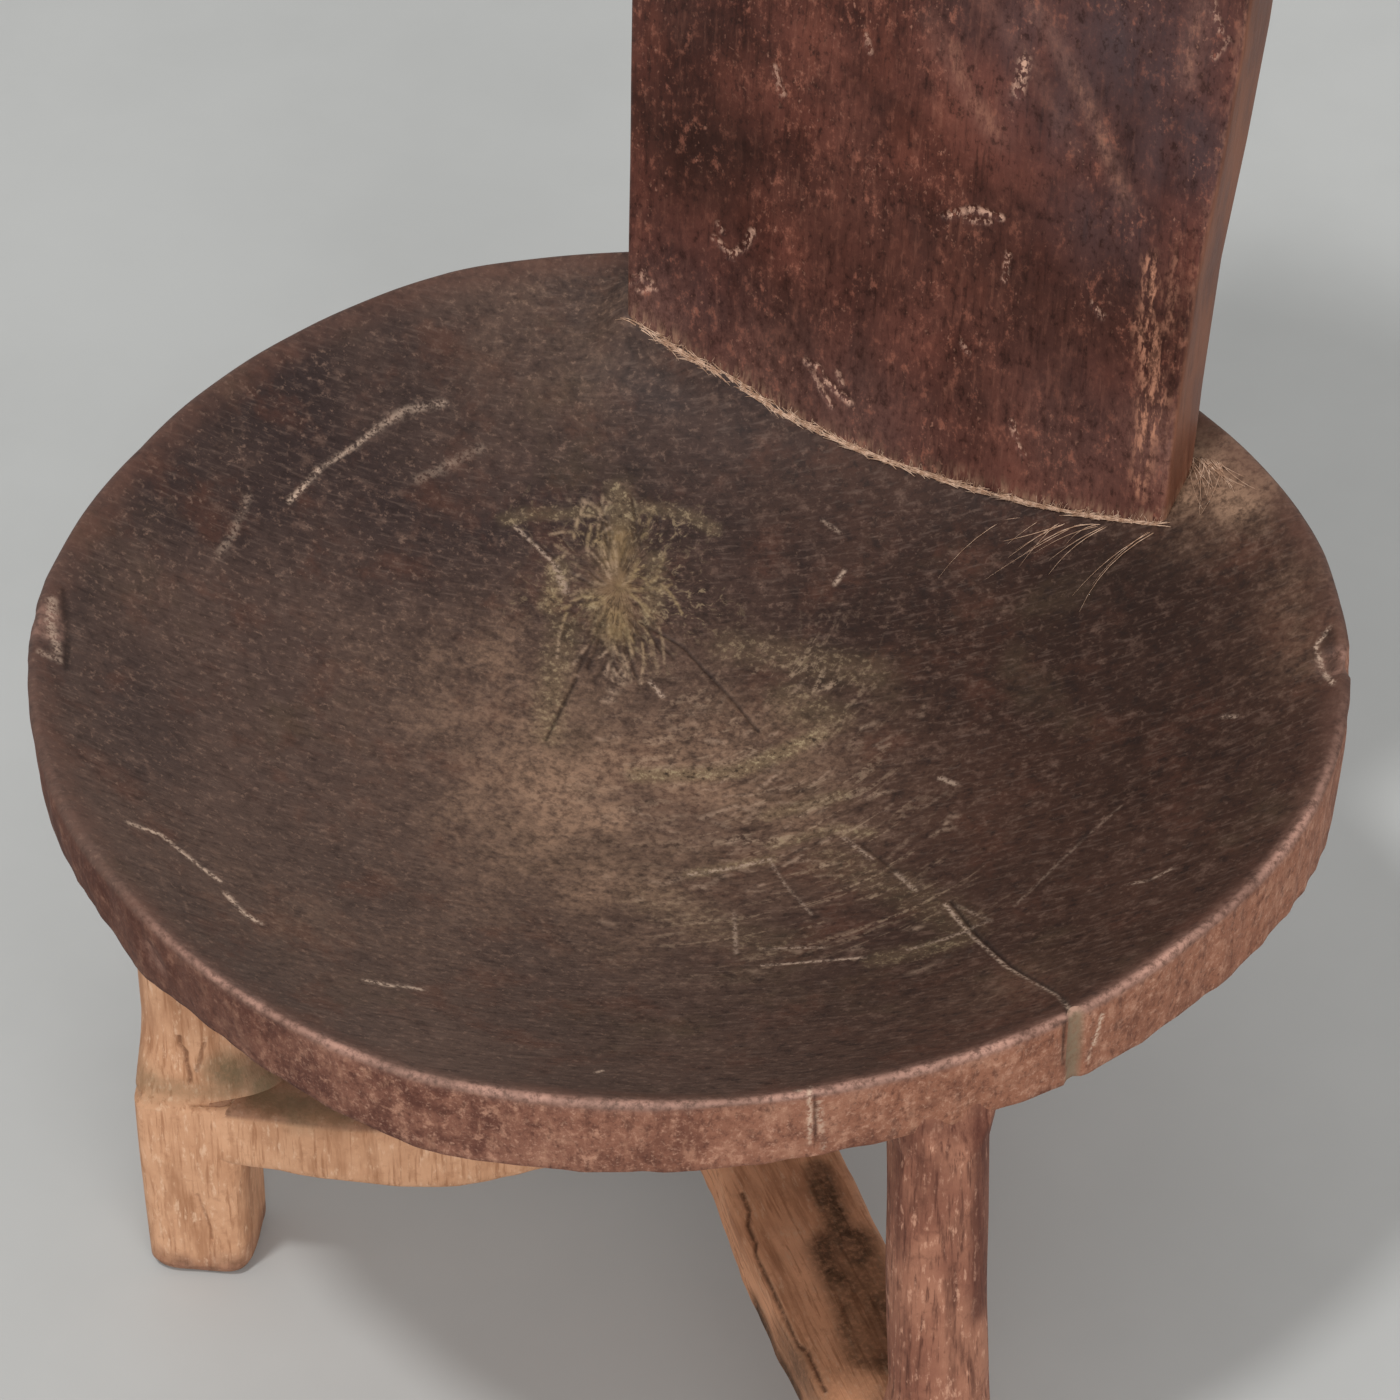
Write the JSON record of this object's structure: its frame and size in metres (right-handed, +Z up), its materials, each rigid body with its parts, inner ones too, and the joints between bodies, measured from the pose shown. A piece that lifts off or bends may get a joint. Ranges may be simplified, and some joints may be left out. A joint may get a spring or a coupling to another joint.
{
  "type": "chieftain chair",
  "caption": "Low carved wooden chair: round dished seat with an upright rim, tall leaning slab back, legs on block feet tied together by a branched stretcher.",
  "frame": {"origin": "on the floor under the middle of the chair's bounding box", "axes": "+Z up; the sitter faces -Y; +X is the sitter's left"},
  "size_m": [0.42, 0.4241, 0.7597],
  "materials": {
    "seat_wood": "dark hand-worn patina, satin",
    "back_wood": "dark red-brown patina, satin",
    "brown_wood": "worn red-brown wood, dull",
    "raw_wood": "bare orange-tan wood, dull",
    "wedge_wood": "bare wood"
  },
  "bodies": {
    "root": {"seat_dish": "seat_wood", "backrest": "back_wood", "leg_front_left": "brown_wood", "leg_front_right": "raw_wood", "leg_rear": "brown_wood", "stretcher_front_left": "brown_wood", "stretcher_front_right": "raw_wood", "stretcher_rear": "brown_wood", "leg_wedge_front_left": "wedge_wood", "leg_wedge_front_right": "wedge_wood", "leg_wedge_rear": "wedge_wood", "back_wedge_left": "wedge_wood", "back_wedge_right": "wedge_wood"}
  },
  "joints": []
}
